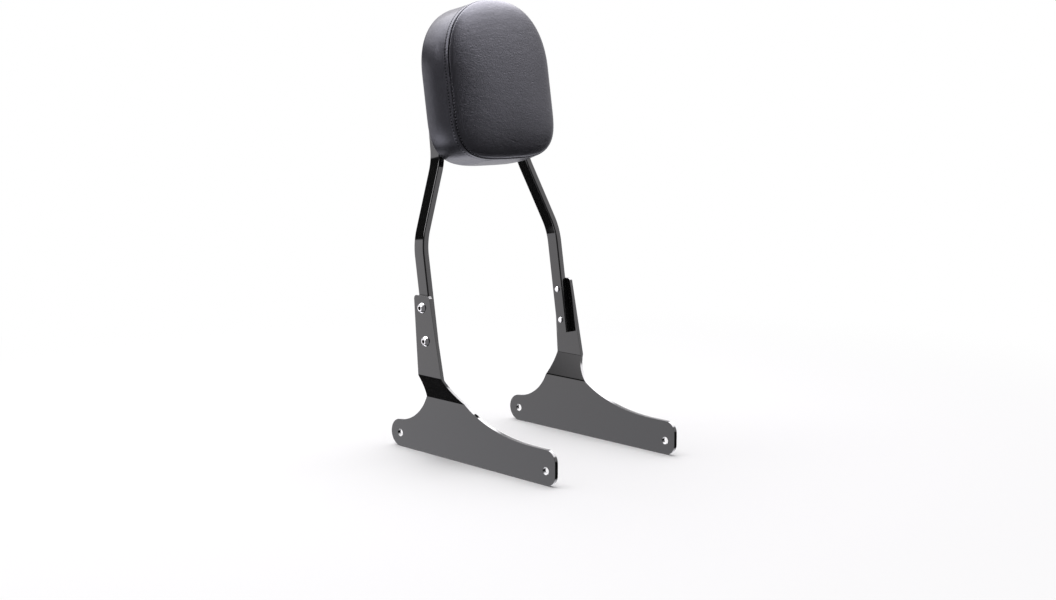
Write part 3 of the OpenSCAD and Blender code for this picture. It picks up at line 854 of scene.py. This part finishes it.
def stitch_tree():
    """Lays one sewn stitch on each point, along the point's course and flat on its face."""
    sizes = {"Length": "NodeSocketFloat", "Thickness": "NodeSocketFloat",
             "Material": "NodeSocketMaterial"}
    group, tree, given = geometry_tree("sewn_stitches", sizes)
    ball = {"Segments": STITCH_SEGMENTS, "Rings": STITCH_RINGS, "Radius": 0.5}
    stitch = tree.add("GeometryNodeMeshUVSphere", {}, ball)
    vector = {"data_type": "FLOAT_VECTOR"}
    course = tree.add("GeometryNodeInputNamedAttribute", vector, {"Name": "course"})
    face = tree.add("GeometryNodeInputNamedAttribute", vector, {"Name": "face"})
    turned = tree.add("FunctionNodeAlignRotationToVector", {"axis": "Z"}, {"Vector": course})
    laid = {"Rotation": turned, "Vector": face}
    turned = tree.add("FunctionNodeAlignRotationToVector", {"axis": "X", "pivot_axis": "Z"}, laid)
    thickness = given.also("Thickness")
    length = given.also("Length")
    size = tree.add("ShaderNodeCombineXYZ", {}, {"X": thickness, "Y": thickness, "Z": length})
    laid = {"Points": given.also("Geometry"), "Instance": stitch, "Rotation": turned, "Scale": size}
    row = tree.add("GeometryNodeInstanceOnPoints", {}, laid)
    row = tree.add("GeometryNodeRealizeInstances", {}, {"Geometry": row})
    row = tree.add("GeometryNodeSetShadeSmooth", {}, {"Geometry": row})
    row = tree.add("GeometryNodeSetMaterial", {}, {"Geometry": row, "Material": given.also("Material")})
    tree.add("NodeGroupOutput", {}, {"Geometry": row})
    return group


def stitches(name, spots, course, face, length, material):
    piece = new_piece(name, spots, [])
    for label, values in (("course", course), ("face", face)):
        attribute = piece.data.attributes.new(label, "FLOAT_VECTOR", "POINT")
        attribute.data.foreach_set("vector", np.ascontiguousarray(values).ravel())
    run_tree(piece, stitch_tree(), Length=length, Thickness=THREAD_THICKNESS, Material=material)
    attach(piece, "root")


def camera():
    data = bpy.data.cameras.new("photo_camera")
    data.lens = CAMERA_LENS
    data.sensor_width = SENSOR_WIDTH
    data.sensor_fit = "HORIZONTAL"
    piece = bpy.data.objects.new("photo_camera", data)
    piece.location = CAMERA_PLACE
    piece.rotation_euler = (math.pi / 2 - CAMERA_PITCH, 0, -CAMERA_YAW)
    bpy.context.scene.collection.objects.link(piece)
    bpy.context.scene.camera = piece


def area_lamp(name, place, aim, size, power):
    data = bpy.data.lights.new(name, "AREA")
    data.shape = "RECTANGLE"
    data.size, data.size_y = size
    data.energy = power
    lamp = bpy.data.objects.new(name, data)
    lamp.location = place
    lamp.rotation_euler = (Vector(aim) - Vector(place)).to_track_quat("-Z", "Y").to_euler()
    bpy.context.scene.collection.objects.link(lamp)


def studio():
    """A room that is white to the eye. Glossy faces mirror it as a wall on the left and the right,
    a backdrop, a ceiling, a floor at the back and two small lamps, and it is dark in front of the pad."""
    world = bpy.data.worlds.new("studio")
    world.use_nodes = True
    bpy.context.scene.world = world
    tree = Tree(world.node_tree)
    direction = tree.add("ShaderNodeTexCoord", output="Generated")
    height = tree.add("ShaderNodeSeparateXYZ", {}, {"Vector": direction}, "Z")
    backward = facing(tree, direction, BACKDROP)
    leftward = facing(tree, direction, LEFT_WALL)
    left = leftward.ramp(*WALL_MEETING)
    left_wall = height.ramp(*LEFT_WALL_FOOT) * (1 - height.ramp(*LEFT_WALL_TOP)) * LEFT_WALL_LIGHT
    right_wall = RIGHT_WALL_LIGHT - backward.ramp(*RIGHT_WALL_BACK) * RIGHT_WALL_FALL
    right_wall = height.ramp(*RIGHT_WALL_FOOT) * right_wall
    wall = (left_wall * left + right_wall * (1 - left)) * backward.ramp(*WALL_ENDS)
    ceiling = leftward.ramp(*CEILING_FALL) * (LEFT_CEILING_LIGHT - RIGHT_CEILING_LIGHT)
    ceiling = RIGHT_CEILING_LIGHT + ceiling
    ceiling = height.ramp(*CEILING_EDGE) * backward.ramp(*CEILING_FRONT) * ceiling
    backdrop = LOW_BACKDROP_LIGHT + height.ramp(*BACKDROP_FOOT) * (BACKDROP_LIGHT - LOW_BACKDROP_LIGHT)
    backdrop = backdrop * backward.ramp(*BACKDROP_EDGE)
    horizon = height + leftward.ramp(*FLOOR_SLANT) * FLOOR_DROP
    ground = (1 - horizon.ramp(*FLOOR_EDGE)) * backward.ramp(*FLOOR_BACK) * FLOOR_LIGHT
    front = (1 - backward.ramp(*FRONT_EDGE)) * FRONT_LIGHT
    low_lamp = facing(tree, direction, LOW_LAMP).ramp(*LOW_LAMP_EDGE) * LOW_LAMP_LIGHT
    high_lamp = facing(tree, direction, HIGH_LAMP).ramp(*HIGH_LAMP_EDGE) * HIGH_LAMP_LIGHT
    mirrored = wall
    for light in (ceiling, backdrop, ground, front, low_lamp, high_lamp):
        mirrored = mirrored.math("MAXIMUM", light)
    mirrored = mirrored + DARK_ROOM
    path = tree.add("ShaderNodeLightPath", output="Is Camera Ray")
    shiny = path.also("Is Glossy Ray").math("MAXIMUM", path.also("Is Transmission Ray"))
    spread = backward.ramp(*AMBIENT_BACK) * (AMBIENT[1] - AMBIENT[0]) + AMBIENT[0]
    strength = spread * (1 - shiny) + mirrored * shiny
    strength = strength * (1 - path) + path
    tint = tree.mix(height.ramp(*TINT_CHANGE), LOW_TINT, HIGH_TINT)
    tint = tree.mix(path, tint, WHITE)
    background = tree.add("ShaderNodeBackground", {}, {"Color": tint, "Strength": strength})
    tree.add("ShaderNodeOutputWorld", {}, {"Surface": background})


def facing(tree, direction, towards):
    """How far one direction points along another."""
    settings = {"operation": "DOT_PRODUCT"}
    return tree.add("ShaderNodeVectorMath", settings, {0: direction, 1: towards}, "Value")


def floor(height):
    """A pale floor that keeps the object's shadow and is white to the eye away from it."""
    material, tree = new_material("pale_floor")
    place = tree.add("ShaderNodeTexCoord", output="Object")
    distance = tree.add("ShaderNodeVectorMath", {"operation": "LENGTH"}, {0: place}, "Value")
    path = tree.add("ShaderNodeLightPath", output="Is Camera Ray")
    pale = tree.add("ShaderNodeBsdfDiffuse", {}, {"Color": PALE})
    white = tree.add("ShaderNodeEmission", {}, {"Color": WHITE, "Strength": 1.0})
    far = distance.ramp(*FLOOR_FADE) * path
    mixed = tree.add("ShaderNodeMixShader", {}, {0: far, 1: pale, 2: white})
    tree.add("ShaderNodeOutputMaterial", {}, {"Surface": mixed})
    half = FLOOR_HALF
    corners = [(-half, -half, 0), (half, -half, 0), (half, half, 0), (-half, half, 0)]
    piece = new_piece("floor", corners, [(0, 1, 2, 3)], material)
    piece.location = (0, 0, height)
    piece.visible_glossy = False


def main():
    scene = bpy.context.scene
    scene.view_settings.view_transform = "Standard"
    camera()
    studio()
    area_lamp("ceiling_softbox", SOFTBOX_PLACE, SOFTBOX_AIM, SOFTBOX_SIZE, SOFTBOX_POWER)
    floor(cad_low.z)

    enamel = gloss_black_enamel()
    chrome = bright_chrome()
    zinc = zinc_plate()
    vinyl = grained_vinyl()
    hoop(enamel)
    for node in ("left_side_plate", "right_side_plate"):
        eased(node, enamel, PLATE_EDGE, 3)
    for node in ("lower_cross_strap", "upper_cross_strap"):
        eased(node, enamel, STRAP_EDGE)
    for side in ("left", "right"):
        for level in ("lower", "upper"):
            shade_socket(eased(f"{side}_{level}_plate_screw", chrome, PLATE_SCREW_EDGE))
            eased(f"{side}_{level}_pad_screw", zinc, PAD_SCREW_EDGE)
            eased(f"{side}_{level}_washer", zinc, WASHER_EDGE)
            finished(f"{side}_{level}_tee_nut", zinc)
    eased("pad_back_panel", back_plastic(), BACK_PANEL_EDGE, 3)
    finished("pad_base_board", plywood())
    black_thread = thread("black_thread", (0.004, 0.004, 0.005, 1), (0.012, 0.012, 0.014, 1))
    grey_thread = thread("grey_thread", (0.07, 0.07, 0.08, 1), (0.15, 0.15, 0.17, 1))
    pad_cover(vinyl, black_thread, grey_thread)


main()
